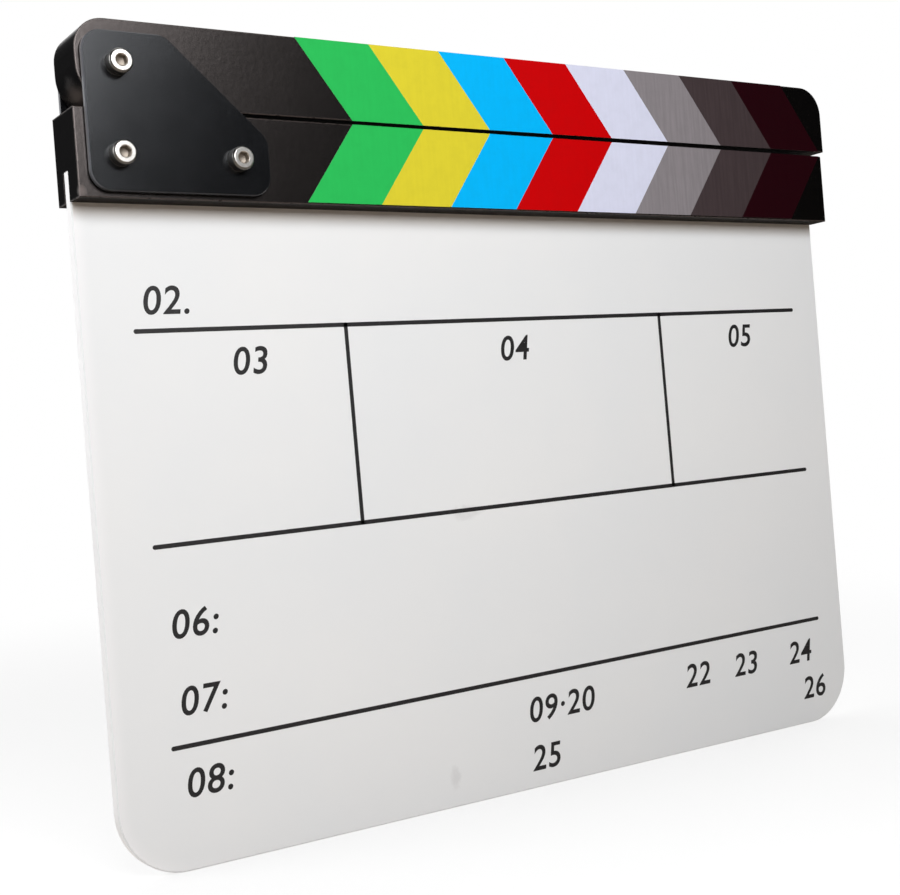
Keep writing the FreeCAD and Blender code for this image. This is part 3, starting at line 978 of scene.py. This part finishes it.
def buildFloor(size):
    shape = bmesh.new()
    bmesh.ops.create_grid(shape, x_segments=1, y_segments=1, size=size["floorSize"])
    finish = Finish("paleFloor", Roughness=0.9)
    cloud = finish.noise(finish.place, 400, 2)
    dim = shaded(size["floor"], size["floorShade"])
    finish.feed(Base_Color=finish.blend(cloud, size["floor"], dim))
    direct = finish.add("ShaderNodeLightPath", None, None, "Is Camera Ray")
    plain = finish.add("ShaderNodeEmission", None, {"Color": size["plain"], "Strength": 1.0})
    chalk = finish.add("ShaderNodeBsdfDiffuse", None, {"Color": size["chalk"]})
    share = size["white"] + finish.length(finish.place).ramp(*size["fade"]) * (1 - size["white"])
    seen = finish.add("ShaderNodeMixShader", None, {0: share, 1: chalk, 2: plain})
    finish.show(finish.add("ShaderNodeMixShader", None, {0: direct, 1: finish.base, 2: seen}))
    floor = newPiece("floor", shape, finish.material)


def buildWorld(size):
    # a white sweep behind the slate, and a dimmer room for it to stand in
    world = bpy.data.worlds.new("studio")
    world.use_nodes = True
    bpy.context.scene.world = world
    bench = Bench(world.node_tree)
    direct = bench.add("ShaderNodeLightPath", None, None, "Is Camera Ray")
    ahead = bench.split(bench.add("ShaderNodeTexCoord", None, None, "Generated"))[1]
    level = size["room"] + ahead.ramp(*size["rearSpan"]) * (size["rear"] - size["room"])
    room = bench.add("ShaderNodeBackground", None, {"Color": size["plain"], "Strength": level})
    sweep = bench.add("ShaderNodeBackground", None, {"Color": size["plain"], "Strength": 1.0})
    both = bench.add("ShaderNodeMixShader", None, {0: direct, 1: room, 2: sweep})
    world.node_tree.links.new(both.socket, world.node_tree.nodes["World Output"].inputs["Surface"])


def buildLight(name, place, aim, width, height, roll, power):
    lamp = bpy.data.lights.new(name, "AREA")
    lamp.shape = "RECTANGLE"
    lamp.size = width * mm
    lamp.size_y = height * mm
    lamp.energy = power
    light = bpy.data.objects.new(name, lamp)
    bpy.context.scene.collection.objects.link(light)
    light.location = Vector(place) * mm
    aimed = (Vector(aim) - Vector(place)).to_track_quat("-Z", "Y").to_matrix()
    turn = aimed @ Matrix.Rotation(math.radians(roll), 3, "Z")
    light.rotation_euler = turn.to_euler()


buildFloor(studio)
buildWorld(studio)
for light in studio["lights"]:
    buildLight(*light)
bpy.context.scene.view_settings.view_transform = "Standard"
print("studio with", len(studio["lights"]), "lights")


# camera

view = {
    "eye": (-286.47, -394.62, 113.08),
    "yaw": 33.33,  # degrees, as are pitch and roll
    "pitch": 0.287,
    "roll": 4.512,
    "lens": 57.88,
    "sensor": 36.0,
    "nearest": 10.0,
}


def buildCamera(size):
    yaw, pitch, roll = (math.radians(size[name]) for name in ("yaw", "pitch", "roll"))
    ahead = Vector((math.sin(yaw) * math.cos(pitch), math.cos(yaw) * math.cos(pitch), math.sin(pitch)))
    right = ahead.cross(Vector((0, 0, 1))).normalized()
    up = right.cross(ahead) * math.cos(roll) + right * math.sin(roll)
    right = ahead.cross(up)
    lens = bpy.data.cameras.new("photoCamera")
    lens.lens = size["lens"]
    lens.sensor_width = size["sensor"]
    lens.sensor_fit = "HORIZONTAL"
    lens.clip_start = size["nearest"] * mm
    camera = bpy.data.objects.new("photoCamera", lens)
    turn = Matrix((right, up, -ahead)).transposed().to_4x4()
    camera.matrix_world = Matrix.Translation(Vector(size["eye"]) * mm) @ turn
    bpy.context.scene.collection.objects.link(camera)
    bpy.context.scene.camera = camera


buildCamera(view)
